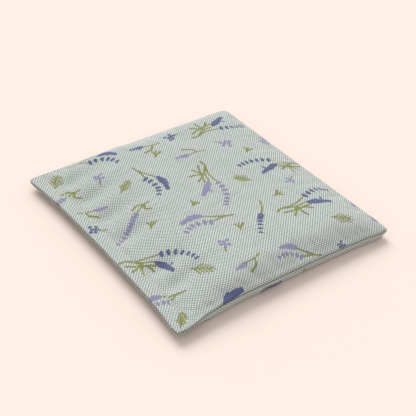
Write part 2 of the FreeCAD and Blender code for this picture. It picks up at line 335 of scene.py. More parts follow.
def simulate_cloth():
    """Blows the two panels up a little as slack cloth, held at the seams and on the hem.

    Returns the places of a coarse grid and how far each of its points moves, for each panel."""
    columns = round(2 * HALF_X / SIM_CELL) + 1
    rows = round(2 * HALF_Y / SIM_CELL) + 1
    x_places = np.linspace(-HALF_X, HALF_X, columns)
    y_places = np.linspace(-HALF_Y, HALF_Y, rows)
    x, y = np.meshgrid(x_places, y_places)
    still = np.zeros_like(x)
    top = panel_points(x, y, still, still, 1, 0.0)
    bottom = panel_points(x, y, still, still, -1, 0.0)
    count = rows * columns
    points = np.concatenate([top.reshape(-1, 3), bottom.reshape(-1, 3)]) * SIM_SCALE
    loop = rim_loop(rows, columns)
    following = np.roll(loop, -1)
    wall = np.stack([loop + count, following + count, following, loop], -1)
    faces = [grid_faces(rows, columns), grid_faces(rows, columns, count, True), wall]
    mesh = bpy.data.meshes.new("cloth_trial")
    mesh.from_pydata(points.tolist(), [], np.concatenate(faces).tolist())
    trial = add_object("cloth_trial", mesh)

    held = trial.vertex_groups.new(name="held")
    inset = np.minimum(np.minimum(HALF_X - np.abs(x), HALF_Y - np.abs(y)), HALF_X + x - HEM)
    on_floor = bottom[..., 2] < FLOOR_TOUCH
    top_hold = np.flatnonzero(inset.ravel() < HELD_STRIP)
    low_hold = np.flatnonzero((inset < HELD_STRIP).ravel() | on_floor.ravel()) + count
    held.add(top_hold.tolist() + low_hold.tolist(), 1.0, "REPLACE")

    cloth = trial.modifiers.new("slack_twill", "CLOTH")
    settings = cloth.settings
    settings.quality = 6
    settings.mass = 0.08
    settings.tension_stiffness = 25
    settings.compression_stiffness = 25
    settings.shear_stiffness = 6
    settings.bending_stiffness = 0.25
    settings.air_damping = 4
    settings.use_pressure = True
    settings.uniform_pressure_force = 4
    settings.shrink_min = -0.008
    settings.vertex_group_mass = "held"
    settings.effector_weights.gravity = 0
    cloth.collision_settings.use_collision = False
    cloth.point_cache.frame_start = 1
    cloth.point_cache.frame_end = SIM_FRAMES
    for moment in range(1, SIM_FRAMES + 1):
        bpy.context.scene.frame_set(moment)
    settled = trial.evaluated_get(bpy.context.evaluated_depsgraph_get()).to_mesh()
    after = np.empty(len(points) * 3)
    settled.vertices.foreach_get("co", after)
    moves = (after.reshape(-1, 3) - points) / SIM_SCALE
    bpy.context.scene.frame_set(1)
    bpy.data.objects.remove(trial)
    bpy.data.meshes.remove(mesh)
    length = np.linalg.norm(moves, axis=1, keepdims=True)
    moves = moves * MOST_MOVE * np.tanh(length / MOST_MOVE) / np.maximum(length, 1e-9)
    moves = moves.reshape(2, rows, columns, 3)
    return x_places, y_places, moves[0], moves[1]


def cubic_weights(fine, coarse):
    """Weights that carry a field from evenly spaced places to any others, as a smooth curve."""
    step = coarse[1] - coarse[0]
    place = (fine[:, None] - coarse[None, :]) / step
    gap = np.abs(place)
    near = 1.5 * gap**3 - 2.5 * gap**2 + 1
    far = -0.5 * gap**3 + 2.5 * gap**2 - 4 * gap + 2
    weights = np.where(gap < 1, near, np.where(gap < 2, far, 0.0))
    return weights / weights.sum(1, keepdims=True)


def slack_moves(slack, side, x_places, y_places):
    """How far the simulation moves a panel at every pair of these places, or nothing without one."""
    if slack is None:
        return 0.0
    x_coarse, y_coarse, top_moves, bottom_moves = slack
    field = top_moves if side > 0 else bottom_moves
    x_weights = cubic_weights(x_places, x_coarse)
    y_weights = cubic_weights(y_places, y_coarse)
    return np.einsum("ij,jkc,lk->ilc", y_weights, field, x_weights)


# -------------------- cloth panels
CELLS_X = 276  # cells of a panel's outer face, without its turned-in strips
CELLS_Y = 288
INNER_STEP = 4  # the inner face is this many times coarser than the outer one
INNER_DEPTH = 0.9  # how far inside the outer face it lies, in thicknesses of cloth
SEWN_FOLDS = [0.25, 0.5, 0.75, 1.1, 2.0, 4.0, 7.0, 10.0]  # along the cloth beyond the edge
HEM_FOLDS = [0.25, 0.5, 0.75, 1.1, 2.5, 6.0, 10.0, 15.0]
# Painted shade: the turned-in cloth of each fold is darkened in its colour, as shade in the crease of the
# seam.
SHADE_START = 0.42  # how far round a fold the cloth begins to darken, creased into the seam
SHADE_REACH = 0.18  # and how much further round it is darkest


def edge_places(half, cells):
    """Flat places from one edge to the other, closer together near both edges."""
    near = np.array([0, 0.1, 0.25, 0.45, 0.7, 1.05, 1.5])
    middle = np.linspace(2.0 - half, half - 2.0, cells + 1 - 2 * len(near))
    return np.concatenate([near - half, middle, half - near[::-1]])


def with_folds(places, low_folds, high_folds):
    """Adds the turned-in places beyond both edges. Returns places and turned-in distances."""
    low = -np.array(low_folds[::-1])
    high = np.array(high_folds)
    longer = np.concatenate([np.full(len(low), places[0]), places, np.full(len(high), places[-1])])
    turned = np.concatenate([low, np.zeros(len(places)), high])
    return longer, turned


def face_normals(points):
    """Unit normals of a grid of points."""
    along_row = np.gradient(points, axis=1)
    along_column = np.gradient(points, axis=0)
    normals = np.cross(along_row, along_column)
    return normals / np.maximum(np.linalg.norm(normals, axis=-1, keepdims=True), 1e-9)


def cloth_lengths(points):
    """Places on the cloth itself, in mm along its two threads, from the panel's middle."""
    across = np.linalg.norm(np.diff(points, axis=1), axis=-1)
    along = np.linalg.norm(np.diff(points, axis=0), axis=-1)
    u = np.concatenate([np.zeros((len(points), 1)), np.cumsum(across, axis=1)], axis=1)
    v = np.concatenate([np.zeros((1, points.shape[1])), np.cumsum(along, axis=0)], axis=0)
    middle_column = points.shape[1] // 2
    middle_row = points.shape[0] // 2
    return u - u[:, middle_column:middle_column + 1], v - v[middle_row:middle_row + 1, :]


def make_panel(name, side, slack):
    """One panel as closed cloth: a fine outer face and a coarser inner face, joined at the
    raw edges of the turned-in allowance."""
    x_places, turned_x = with_folds(edge_places(HALF_X, CELLS_X), HEM_FOLDS, SEWN_FOLDS)
    y_places, turned_y = with_folds(edge_places(HALF_Y, CELLS_Y), SEWN_FOLDS, SEWN_FOLDS)
    x, y = np.meshgrid(x_places, y_places)
    tx, ty = np.meshgrid(turned_x, turned_y)
    moves = slack_moves(slack, side, x_places, y_places)
    outer = panel_points(x, y, tx, ty, side, moves)
    normals = face_normals(outer) * side
    inner = (outer - normals * CLOTH * INNER_DEPTH)[::INNER_STEP, ::INNER_STEP]
    rows, columns = x.shape
    inner_rows, inner_columns = inner.shape[:2]
    faces = grid_faces(rows, columns, 0, side < 0).tolist()
    faces += grid_faces(inner_rows, inner_columns, rows * columns, side > 0).tolist()
    outer_loop = rim_loop(rows, columns)
    inner_loop = rim_loop(inner_rows, inner_columns) + rows * columns
    for index, corner in enumerate(inner_loop):
        stretch = np.take(outer_loop, range(index * INNER_STEP, (index + 1) * INNER_STEP + 1), mode="wrap")
        following = inner_loop[(index + 1) % len(inner_loop)]
        face = [following, corner, *stretch]
        faces.append(face if side < 0 else face[::-1])
    points = np.concatenate([outer.reshape(-1, 3), inner.reshape(-1, 3)]) * MM
    mesh = bpy.data.meshes.new(name)
    mesh.from_pydata(points.tolist(), [], [list(map(int, face)) for face in faces])
    mesh.shade_smooth()
    u, v = cloth_lengths(outer)
    cloth_uv = np.concatenate([
        np.stack([u, v], -1).reshape(-1, 2),
        np.stack([u, v], -1)[::INNER_STEP, ::INNER_STEP].reshape(-1, 2),
    ])
    corner_points = np.empty(len(mesh.loops), dtype=np.int64)
    mesh.loops.foreach_get("vertex_index", corner_points)
    layer = mesh.uv_layers.new(name="cloth")
    layer.data.foreach_set("uv", (cloth_uv[corner_points] * MM).ravel())
    piece = add_object(name, mesh)
    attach(piece, "root")
    # Painted shade: each point gets a share of darkening for its colour, rising round the fold into the
    # seam crease, and full on the whole inner face as shade inside the pillow.
    turned = np.maximum(np.abs(tx), np.abs(ty))
    shade = np.clip((turned - SHADE_START) / SHADE_REACH, 0, 1)
    shade = np.concatenate([shade.ravel(), np.ones(inner_rows * inner_columns)])
    layer = mesh.attributes.new("painted_crease_shade", "FLOAT", "POINT")
    layer.data.foreach_set("value", shade.astype(np.float32))
    return piece, cloth_uv


# -------------------- printed sprigs
# The print is held as the distance, in mm of cloth, from each point to the nearest edge of each
# ink: below zero is inside the ink. The motifs are drawn with strokes and dabs.
FAR_AWAY = 4.0


class Print:
    """The inks on one panel, drawn at places on its cloth in mm from the panel's middle."""

    def __init__(self, places):
        self.places = places
        self.inks = {ink: np.full(len(places), FAR_AWAY) for ink in ("green", "violet", "lilac")}

    def stroke(self, ink, points, start_width, end_width):
        """A smooth line through a few points, whose width changes evenly along it."""
        curve = smooth_line(points)
        widths = np.linspace(start_width, end_width, len(curve))
        low = curve.min(0) - FAR_AWAY
        high = curve.max(0) + FAR_AWAY
        close = np.flatnonzero(((self.places > low) & (self.places < high)).all(1))
        near = self.places[close]
        for start, end, width in zip(curve[:-1], curve[1:], widths):
            run = end - start
            share = np.clip((near - start) @ run / max(run @ run, 1e-9), 0, 1)
            distance = np.linalg.norm(near - start - share[:, None] * run, axis=1) - width / 2
            self.inks[ink][close] = np.minimum(self.inks[ink][close], distance)

    def dab(self, ink, centre, length, width, heading):
        """One touch of the brush: a short fat stroke."""
        reach = max(length - width, 0.01) / 2
        step = np.array([math.cos(heading), math.sin(heading)]) * reach
        self.stroke(ink, [np.array(centre) - step, np.array(centre) + step], width, width * 0.8)


def smooth_line(points, steps=5):
    """A curve that passes through every point."""
    points = [np.array(point, dtype=float) for point in points]
    if len(points) == 2:
        return np.array(points)
    ends = [2 * points[0] - points[1], *points, 2 * points[-1] - points[-2]]
    curve = []
    for before, start, end, after in zip(ends, ends[1:], ends[2:], ends[3:]):
        for share in np.arange(steps) / steps:
            bend = (2 * before - 5 * start + 4 * end - after) * share**2
            turn = (3 * start - before - 3 * end + after) * share**3
            curve.append(0.5 * (2 * start + (end - before) * share + bend + turn))
    return np.array([*curve, points[-1]])


def along_curve(curve, share):
    """The place that is a share of the way along a curve, and the curve's step there."""
    spot = share * (len(curve) - 1)
    low = min(int(spot), len(curve) - 2)
    run = curve[low + 1] - curve[low]
    return curve[low] + (spot - low) * run, run


BEND_LENGTH = 40.0
BUD_ROW = 1.25  # from one row of buds to the next in a full head


class Motif:
    """Draws in its own frame: forward along its heading, and left of it.

    flip is -1 for a mirrored motif. bend is how far, in degrees, it turns left over BEND_LENGTH."""

    def __init__(self, sheet, ink, x, y, heading, flip=1, size=1.0, bend=0):
        self.sheet = sheet
        self.ink = ink
        self.origin = np.array([x, y], dtype=float)
        self.heading = math.radians(heading)
        self.flip = flip
        self.size = size
        self.curl = math.radians(bend) / BEND_LENGTH
        self.random = np.random.RandomState(int(abs(x * 31 + y * 17)) + 7)

    def place(self, forward, left):
        """Where a place in the motif's frame lies on the cloth."""
        if self.curl:
            turn = self.curl * forward
            across = (1 - math.cos(turn)) / self.curl + left * math.cos(turn)
            forward = math.sin(turn) / self.curl - left * math.sin(turn)
            left = across
        left = left * self.flip
        cosine = math.cos(self.heading)
        sine = math.sin(self.heading)
        turned = np.array([forward * cosine - left * sine, forward * sine + left * cosine])
        return self.origin + self.size * turned

    def green(self, *points, start=1.2, end=0.95):
        """A stem or a leaf."""
        self.sheet.stroke("green", [self.place(*point) for point in points], start, end)

    def dab(self, forward, left, length, width, angle):
        heading = self.heading + self.flip * (math.radians(angle) + self.curl * forward)
        centre = self.place(forward, left)
        self.sheet.dab(self.ink, centre, length * self.size, width * self.size, heading)

    def dotted_spike(self, points, count, start=3.5, end=2.7):
        """Separate buds along a curve, each a pair of dabs, on a thin stem."""
        curve = smooth_line(points)
        self.green(*points, start=0.6, end=0.45)
        for share in np.linspace(0, 1, count):
            (forward, left), run = along_curve(curve, share)
            angle = math.degrees(math.atan2(run[1], run[0]))
            width = start + (end - start) * share
            lean = 75 + 20 * self.random.uniform(-1, 1)
            normal = np.array([-run[1], run[0]]) / np.linalg.norm(run) * 0.25 * width
            self.dab(forward + normal[0], left + normal[1], 0.8 * width, 0.6 * width, angle + lean)
            self.dab(forward - normal[0], left - normal[1], 0.8 * width, 0.6 * width, angle - lean)

    def solid_spike(self, points, width=4.8):
        """A flower head of buds so close that they join, with a ragged outline."""
        curve = smooth_line(points)
        length = np.linalg.norm(np.diff(curve, axis=0), axis=1).sum()
        rows = max(int(length / BUD_ROW), 3)
        for row in range(rows):
            share = row / (rows - 1)
            (forward, left), run = along_curve(curve, share)
            run = run / np.linalg.norm(run)
            angle = math.degrees(math.atan2(run[1], run[0]))
            half = 0.5 * width * min(0.5 + 1.6 * share, 1.25 - 0.85 * share)
            for side in (-1, 0, 1):
                reach = side * (half - 0.13 * width) * (1 + 0.32 * self.random.uniform(-1, 1))
                aside = (forward - run[1] * reach, left + run[0] * reach)
                self.dab(*aside, 0.56 * width, 0.31 * width, angle + 42 * side)


def bouquet(motif):
    """Leaves at the foot, a long stem with separate buds, and a shorter one with a full head."""
    motif.green((0, 3), (9, 2), (18, 4))
    motif.green((1, 2.6), (7, 0), (16, -0.7))
    motif.green((-2, -0.5), (4, -2), (8, -0.6), start=1.4)
    motif.green((8, -0.8), (4, -4), (1, -6), end=1.5)
    motif.green((8, -2), (7, -6), (7.5, -10), end=1.5)
    motif.green((8, -2), (12, -4.5), (14.5, -7), end=1.5)
    motif.green((5, -2.6), (11, -3), (16, -3.6), end=1.3)
    motif.green((3, 2.8), (-1, 3.5), (-5, 2.6), end=1.4)
    motif.dotted_spike([(19, 4), (24.5, 5.3), (30, 5.4), (35, 4.5), (39, 3)], 7)
    motif.solid_spike([(16.5, -1.5), (22, -4.2), (28, -8)], 4.3)
    motif.dab(25.5, -2.6, 2.6, 1.3, 60)


def two_heads(motif):
    """Two stems from one point: one with separate buds and one with a full head."""
    motif.green((0, 0), (7, 0.8), (14, 0))
    motif.green((4, 0.8), (10, 3.2), (16.5, 6.5))
    motif.dotted_spike([(14, -0.3), (18, 1.2), (23, 1.5), (26.5, 0.6), (30, -1.8)], 6)
    motif.solid_spike([(16.5, 6.8), (22, 7.4), (28.5, 5.6)], 4.4)


def long_spike(motif):
    """A forked stem that carries one long row of buds."""
    motif.green((0, 0), (5, -0.4), (14, 0.4))
    motif.green((4, -0.4), (7, 3.0), (4.5, 6.0), end=1.4)
    motif.green((4, -0.4), (8, -4.2), (12, -4.0), end=1.4)
    motif.dotted_spike([(14, 0.4), (22, 1.6), (30, 2.0), (41, 1.0)], 10, 3.6, 3.0)


def single_spike(motif):
    """One plain stem that ends in a row of separate buds."""
    motif.green((0, 0), (6, 1.2), (13, 0.6))
    motif.dotted_spike([(13, 0.6), (19, 0), (28, 0.4)], 7, 3.0, 2.2)


def small_sprig(motif):
    """One bud on a stem with a side leaf."""
    motif.green((0, 0), (5.5, 0.8), (12, 0), start=1.0)
    motif.green((5.5, 0.6), (7.5, 4.4), (13, 6.6), start=0.9, end=1.5)
    motif.solid_spike([(12, 0), (15.5, 0.4), (20, 0.2)], 3.4)


def frond(motif):
    """A little fern leaf: a middle vein with slanting leaflets."""
    motif.green((0, 0), (7, 0.5), (14, 0), start=1.0, end=0.8)
    for step in range(4):
        along = 3.0 + 2.6 * step
        reach = 3.9 - 0.55 * step
        for side in (-1, 1):
            tip = (along + 0.85 * reach, side * reach)
            motif.green((along - 1.2, 0), tip, start=0.9, end=1.6)


def leaf_tuft(motif):
    """Three little leaves from one point."""
    motif.green((0, 0), (3, 1.0), (6.6, 1.0), start=0.9, end=1.7)
    motif.green((0.6, 0.2), (2.4, 2.6), (3.2, 5.4), start=0.8, end=1.3)
    motif.green((0.4, 0.3), (3, 2.4), (5.6, 3.6), start=0.8, end=1.2)


def floret_turn(forward, left):
    """A fixed turn for each floret, so that no two look the same."""
    return math.sin(3.1 * forward + 1.7 * left)


def florets(motif):
    """A loose bunch of small flowers with a stub of green stem."""
    for forward, left in ((4.4, 0), (7, 2.9), (7, -2.9), (9.8, 0.8), (7.2, 0), (11.6, -1.8), (10, 3.8)):
        for turn in (0, 65, 130):
            spin = turn + 40 * floret_turn(forward, left)
            motif.dab(forward, left, 3.1, 1.15, spin)
    motif.green((0, 0), (4, 0.4), start=1.0, end=0.7)


def full_head(motif):
    """A large full flower head on a short stem."""
    motif.green((-7, -0.5), (0, 0), start=0.8)
    motif.solid_spike([(0, 0), (6, 0.8), (15, 0)], 6.5)


# Each row is a motif, its ink, where its own middle point lies in mm from the middle of the panel,
# its heading in degrees, 1 or -1 for mirrored, its size and its bend. The last three may be left out.
TOP_LAYOUT = [
    (bouquet, "violet", -69, -22, -17, 1, 0.95, -45),
    (bouquet, "violet", 28, -40, 4),
    (bouquet, "violet", 31, 53, 6, -1, 1.0, 10),
    (bouquet, "violet", 70, -3, 165, -1, 1.0),
    (bouquet, "lilac", 12, 22, -101, 1, 1.0, -15),
    (two_heads, "violet", -23, 43, -89),
    (two_heads, "violet", -52, 73, -34, 1, 1.05),
    (two_heads, "lilac", 0, -26, 173, -1, 1.05),
    (two_heads, "lilac", 24, -76, 164, -1, 0.85, 20),
    (two_heads, "lilac", -56, -58, 174, -1, 0.8),
    (long_spike, "lilac", -33, 11, -166, 1, 0.85, 20),
    (long_spike, "lilac", -57, 50, -171, 1, 0.9),
    (single_spike, "violet", 21, -24, -129, 1, 1.05),
    (small_sprig, "violet", 6, 57, 173),
    (small_sprig, "lilac", -9, -60, -170, 1, 0.9),
    (small_sprig, "lilac", 25, 34, 172, -1, 1.0),
    (small_sprig, "lilac", -69, 32, -21, -1, 0.85),
    (frond, "green", -45, -47, -46, 1, 0.95),
    (frond, "green", 46, -58, -35, 1, 0.95),
    (frond, "green", 30, -6, 129, 1, 0.85),
    (frond, "green", -41, 28, 31, 1, 0.85),
    (frond, "green", -68, 60, 55),
    (frond, "green", -72, -75, 50, 1, 0.75),
    (florets, "lilac", -46, 43, 63, 1, 0.75),
    (florets, "lilac", -23, -49, 58, 1, 0.8),
    (florets, "lilac", 54, -15, -147, 1, 0.7),
    (florets, "lilac", 36, 39, -49, 1, 0.9),
    (florets, "violet", -63, 10, 143, 1, 0.85),
    (florets, "violet", 22, 59, 180, 1, 0.8),
    (florets, "violet", 40, -81, 90, 1, 0.6),
    (florets, "lilac", 70, 22, 90, 1, 0.8),
    (florets, "lilac", 78, -52, 170, 1, 0.7),
    (florets, "lilac", 80, -68, 170, 1, 0.8),
    (florets, "lilac", 80, 34, 185, 1, 0.8),
    (full_head, "violet", -43, -76, 8, 1, 0.8),
    (single_spike, "lilac", 20, 80, 175, 1, 0.8),
    (leaf_tuft, "green", -44, -8, 20, 1, 0.9),
    (leaf_tuft, "green", -15, -7, 0, 1, 0.8),
    (leaf_tuft, "green", -5, -39, 30, 1, 0.9),
    (leaf_tuft, "green", 31, -25, 40, -1, 0.9),
    (leaf_tuft, "green", -5, 45, 20),
    (leaf_tuft, "green", 46, 19, 10, 1, 0.9),
]
# The bottom panel is cut from the same cloth at another place. Its first rows show beside the
# front seam.
BOTTOM_LAYOUT = [
    (full_head, "violet", -17, -74, -4, 1, 0.85),
    (single_spike, "lilac", 12, -78, 60, 1, 0.9),
    (full_head, "lilac", 62, -74, 4, 1, 0.8),
    (bouquet, "violet", -60, -40, 12, 1, 1.0, -20),
    (bouquet, "violet", 52, 8, 158, 1, 1.0, 20),
    (bouquet, "lilac", -12, 62, -120, 1, 1.0, 10),
    (two_heads, "violet", 20, -46, 25),
    (two_heads, "lilac", 44, 66, -150, -1, 1.0),
    (long_spike, "lilac", -66, 26, 20, 1, 0.9, 15),
    (single_spike, "violet", 0, -16, 100),
    (small_sprig, "lilac", -30, -62, 30, 1, 0.9),
    (small_sprig, "violet", 62, -24, 200, -1, 0.9),
    (frond, "green", -20, 8, 70, 1, 0.9),
    (frond, "green", 34, 30, -20, 1, 0.9),
    (frond, "green", -60, 60, 10, 1, 0.9),
    (florets, "lilac", -36, -10, 80, 1, 0.8),
    (florets, "violet", 60, 44, 200, 1, 0.8),
    (florets, "lilac", 10, 30, -60, 1, 0.8),
]


def draw_print(places, layout):
    """The distances to each ink's nearest edge, for every point of a panel."""
    sheet = Print(places)
    for shape, *settings in layout:
        shape(Motif(sheet, *settings))
    return sheet.inks


def store_print(piece, inks):
    for ink, distances in inks.items():
        layer = piece.data.attributes.new("ink_" + ink, "FLOAT", "POINT")
        layer.data.foreach_set("value", distances.astype(np.float32))


# -------------------- materials
class Nodes:
    """Short names for the shader nodes of one material."""

    def __init__(self, name):
        self.material = bpy.data.materials.new(name)
        self.material.use_nodes = True
        self.tree = self.material.node_tree
        self.shader = self.tree.nodes["Principled BSDF"]

    def add(self, kind, **settings):
        node = self.tree.nodes.new("ShaderNode" + kind)
        for name, value in settings.items():
            setattr(node, name, value)
        return node

    def feed(self, socket, value):
        if isinstance(value, bpy.types.NodeSocket):
            self.tree.links.new(value, socket)
        else:
            socket.default_value = value

    def surface(self, name, value):
        self.feed(self.shader.inputs[name], value)

    def math(self, operation, first, second=0.0, third=0.0):
        node = self.add("Math", operation=operation)
        for socket, value in zip(node.inputs, (first, second, third)):
            self.feed(socket, value)
        return node.outputs[0]

    def remap(self, value, low, high, new_low=0.0, new_high=1.0):
        node = self.add("MapRange", interpolation_type="SMOOTHSTEP")
        for socket, given in zip(node.inputs, (value, low, high, new_low, new_high)):
            self.feed(socket, given)
        return node.outputs[0]

    def mix(self, share, first, second):
        node = self.add("Mix", data_type="RGBA")
        self.feed(node.inputs[0], share)
        self.feed(node.inputs[6], first)
        self.feed(node.inputs[7], second)
        return node.outputs[2]

    def times(self, value, factor):
        return self.math("MULTIPLY", value, factor)

    def combine(self, x, y, z=0.0):
        node = self.add("CombineXYZ")
        for socket, value in zip(node.inputs, (x, y, z)):
            self.feed(socket, value)
        return node.outputs[0]

    def noise(self, vector, scale, detail=2.0):
        node = self.add("TexNoise")
        self.feed(node.inputs["Vector"], vector)
        self.feed(node.inputs["Scale"], scale)
        self.feed(node.inputs["Detail"], detail)
        return node.outputs[0]

    def attribute(self, name):
        return self.add("Attribute", attribute_name=name).outputs["Fac"]

    def bump(self, height, strength, distance):
        node = self.add("Bump")
        self.feed(node.inputs["Height"], height)
        self.feed(node.inputs["Strength"], strength)
        self.feed(node.inputs["Distance"], distance)
        self.surface("Normal", node.outputs[0])


ROW_PITCH = 1.36  # mm from one slanting row of raised yarns to the next
DOT_PITCH = 1.08  # mm from one raised yarn to the next along a row
YARN_RELIEF = 0.22  # mm
YARN_EDGE = 0.12  # how softly warp gives way to weft
YARN_ROUNDNESS = 0.55  # lower is flatter on top
WANDER = 0.5  # width of the band that a yarn strays over, in yarns
WANDER_SCALE = 0.2
ACROSS_FIBRES = 6.0  # fibres are fine across a yarn and long along it
ALONG_FIBRES = 1.1
SLUB_SCALE = 0.06
BASE_SHADE = 0.65  # the yarns' brightness before fibres and slubs add to it
FIBRE_SHADE = 0.36
SLUB_SHADE = 0.34
RAGGED_SCALE = 1500.0
RAGGED = 1.1  # mm, width of the band that the ink's edge strays over
INK_EDGE = 0.14  # mm that the ink's edge is soft, each way
HOLLOW_COVER = 0.5  # how much the ink covers between the yarns
YARN_COVER = 0.94  # and on top of them
# how far the painted shade in the hollows between the yarns darkens the colour, at most
PAINTED_HOLLOW_SHADE = 0.88
# how strongly the painted shade of the seam creases and the inner face darkens the colour
PAINTED_CREASE_STRENGTH = 0.85
WARP_COLOUR = (0.69, 0.745, 0.715, 1)
WEFT_COLOUR = (0.29, 0.315, 0.29, 1)
# near-black colour of painted shade, mixed into the hollows between the yarns and into the seam creases
PAINTED_SHADE_COLOUR = (0.10, 0.105, 0.085, 1)
INK_COLOURS = {
    "green": (0.205, 0.22, 0.025, 1),
    "lilac": (0.235, 0.225, 0.385, 1),
    "violet": (0.055, 0.068, 0.215, 1),
}


def cosine(nodes, turns):
    """The cosine of half turns, whose sign changes from each yarn to the next."""
    return nodes.math("COSINE", nodes.times(turns, math.pi))


def yarn_places(nodes, uv):
    """Place on the cloth counted in yarns both ways, with yarns that wander a little."""
    split = nodes.add("SeparateXYZ")
    nodes.feed(split.inputs[0], uv)
    rows = nodes.math("SUBTRACT", split.outputs[0], split.outputs[1])
    rows = nodes.math("DIVIDE", rows, math.sqrt(2) * ROW_PITCH * MM)
    dots = nodes.math("ADD", split.outputs[0], split.outputs[1])
    dots = nodes.math("DIVIDE", dots, math.sqrt(2) * DOT_PITCH * MM)
    x = nodes.math("ADD", dots, rows)
    y = nodes.math("SUBTRACT", dots, rows)
    wander = nodes.noise(nodes.combine(nodes.times(x, WANDER_SCALE), nodes.times(y, WANDER_SCALE)), 1.0)
    wander = nodes.times(nodes.math("SUBTRACT", wander, 0.5), WANDER)
    return nodes.math("ADD", x, wander), nodes.math("ADD", y, wander)


def yarn_fibres(nodes, x, y, is_warp):
    """Fine fibres along each yarn, between 0 and 1."""
    along_warp = nodes.combine(nodes.times(x, ACROSS_FIBRES), nodes.times(y, ALONG_FIBRES))
    along_weft = nodes.combine(nodes.times(x, ALONG_FIBRES), nodes.times(y, ACROSS_FIBRES))
    return nodes.mix(is_warp, nodes.noise(along_weft, 1.0, 3.0), nodes.noise(along_warp, 1.0, 3.0))


def yarn_slubs(nodes, x, y, is_warp):
    """Long paler and darker stretches of single yarns, between 0 and 1."""
    along_weft = nodes.combine(nodes.times(x, SLUB_SCALE), nodes.math("ROUND", y))
    along_warp = nodes.combine(nodes.math("ROUND", x), nodes.times(y, SLUB_SCALE))
    return nodes.mix(is_warp, nodes.noise(along_weft, 1.0), nodes.noise(along_warp, 1.0))


def unprinted_colour(nodes, is_warp, fibres, slub):
    shade = nodes.math("ADD", nodes.times(fibres, FIBRE_SHADE), nodes.times(slub, SLUB_SHADE))
    shade = nodes.math("ADD", shade, BASE_SHADE)
    ground = nodes.add("VectorMath", operation="SCALE")
    nodes.feed(ground.inputs[0], nodes.mix(is_warp, WEFT_COLOUR, WARP_COLOUR))
    nodes.feed(ground.inputs["Scale"], shade)
    return ground.outputs[0]


def printed_colour(nodes, colour, uv, relief):
    """Lays each ink over the cloth's colour, thinner in the hollows between the yarns."""
    ragged = nodes.math("SUBTRACT", nodes.noise(uv, RAGGED_SCALE, 2.0), 0.5)
    ragged = nodes.times(ragged, RAGGED)
    for ink, ink_colour in INK_COLOURS.items():
        distance = nodes.math("ADD", nodes.attribute("ink_" + ink), ragged)
        cover = nodes.remap(distance, INK_EDGE, -INK_EDGE)
        cover = nodes.times(cover, nodes.remap(relief, 0.05, 0.5, HOLLOW_COVER, YARN_COVER))
        colour = nodes.mix(cover, colour, ink_colour)
    return colour


def printed_canvas():
    """Coarse cotton whose pale raised yarns stand in slanting rows over a greyer weft, with inks
    that lie on the raised yarns."""
    nodes = Nodes("printed_canvas")
    uv = nodes.add("UVMap", uv_map="cloth").outputs[0]
    x, y = yarn_places(nodes, uv)
    over = nodes.times(cosine(nodes, x), cosine(nodes, y))
    is_warp = nodes.remap(over, -YARN_EDGE, YARN_EDGE)
    relief = nodes.math("POWER", nodes.math("ABSOLUTE", over), YARN_ROUNDNESS)
    fibres = yarn_fibres(nodes, x, y, is_warp)
    colour = unprinted_colour(nodes, is_warp, fibres, yarn_slubs(nodes, x, y, is_warp))
    colour = printed_colour(nodes, colour, uv, relief)
    # painted shade in the hollows between the yarns
    colour = nodes.mix(nodes.remap(relief, 0.0, 0.5, PAINTED_HOLLOW_SHADE, 0.0), colour, PAINTED_SHADE_COLOUR)
    # painted shade in the seam creases and on the inner face
    colour = nodes.mix(nodes.times(nodes.attribute("painted_crease_shade"), PAINTED_CREASE_STRENGTH), colour, PAINTED_SHADE_COLOUR)
    nodes.surface("Base Color", colour)
    nodes.surface("Roughness", 0.92)
    nodes.surface("Specular IOR Level", 0.2)
    nodes.surface("Sheen Weight", 0.12)
    nodes.surface("Sheen Roughness", 0.6)
    height = nodes.math("ADD", relief, nodes.times(fibres, 0.25))
    nodes.bump(height, 0.7, YARN_RELIEF * MM)
    return nodes.material


# Two colours for each of the other materials.
PALE_YELLOW = ((0.78, 0.74, 0.44, 1), (0.60, 0.57, 0.33, 1))
GREY_GREEN = ((0.62, 0.66, 0.60, 1), (0.50, 0.53, 0.48, 1))
OFF_WHITE = ((0.75, 0.76, 0.72, 1), (0.6, 0.61, 0.57, 1))
FADED_VIOLET = ((0.20, 0.17, 0.30, 1), (0.10, 0.09, 0.15, 1))
# a seed brown, and the near-black of painted shade where the grains meet
SEED_BROWN_AND_SHADE = ((0.23, 0.10, 0.035, 1), (0.06, 0.025, 0.01, 1))
THREAD_GRAIN = 2500.0
THREAD_RELIEF = 0.05
BUD_GRAIN = 1500.0
BUD_RELIEF = 0.2
SEED_GRAIN = 420.0
SEED_RELIEF = 0.5


def plain_material(name, colours, grain, depth, roughness=0.85):
    """A matt natural material: two colours mixed by a fine noise that also roughens it."""
    nodes = Nodes(name)
    place = nodes.add("TexCoord").outputs["Object"]
    mottle = nodes.noise(place, grain, 3.0)
    nodes.surface("Base Color", nodes.mix(nodes.remap(mottle, 0.35, 0.65), *colours))
    nodes.surface("Roughness", roughness)
    nodes.bump(mottle, 0.5, depth * MM)
    return nodes.material


def seed_material():
    """Flax seed: small glossy brown grains, drawn as cells, with painted shade darkening them where they
    meet.
    """
    nodes = Nodes("flax_seed")
    place = nodes.add("TexCoord").outputs["Object"]
    cells = nodes.add("TexVoronoi")
    nodes.feed(cells.inputs["Vector"], place)
    cells.inputs["Scale"].default_value = SEED_GRAIN
    # darker towards each cell's rim: painted shade between the grains
    edge = nodes.remap(cells.outputs["Distance"], 0.1, 0.7)
    nodes.surface("Base Color", nodes.mix(edge, *SEED_BROWN_AND_SHADE))
    nodes.surface("Roughness", 0.38)
    nodes.bump(nodes.math("SUBTRACT", 1.0, cells.outputs["Distance"]), 0.9, SEED_RELIEF * MM)
    return nodes.material


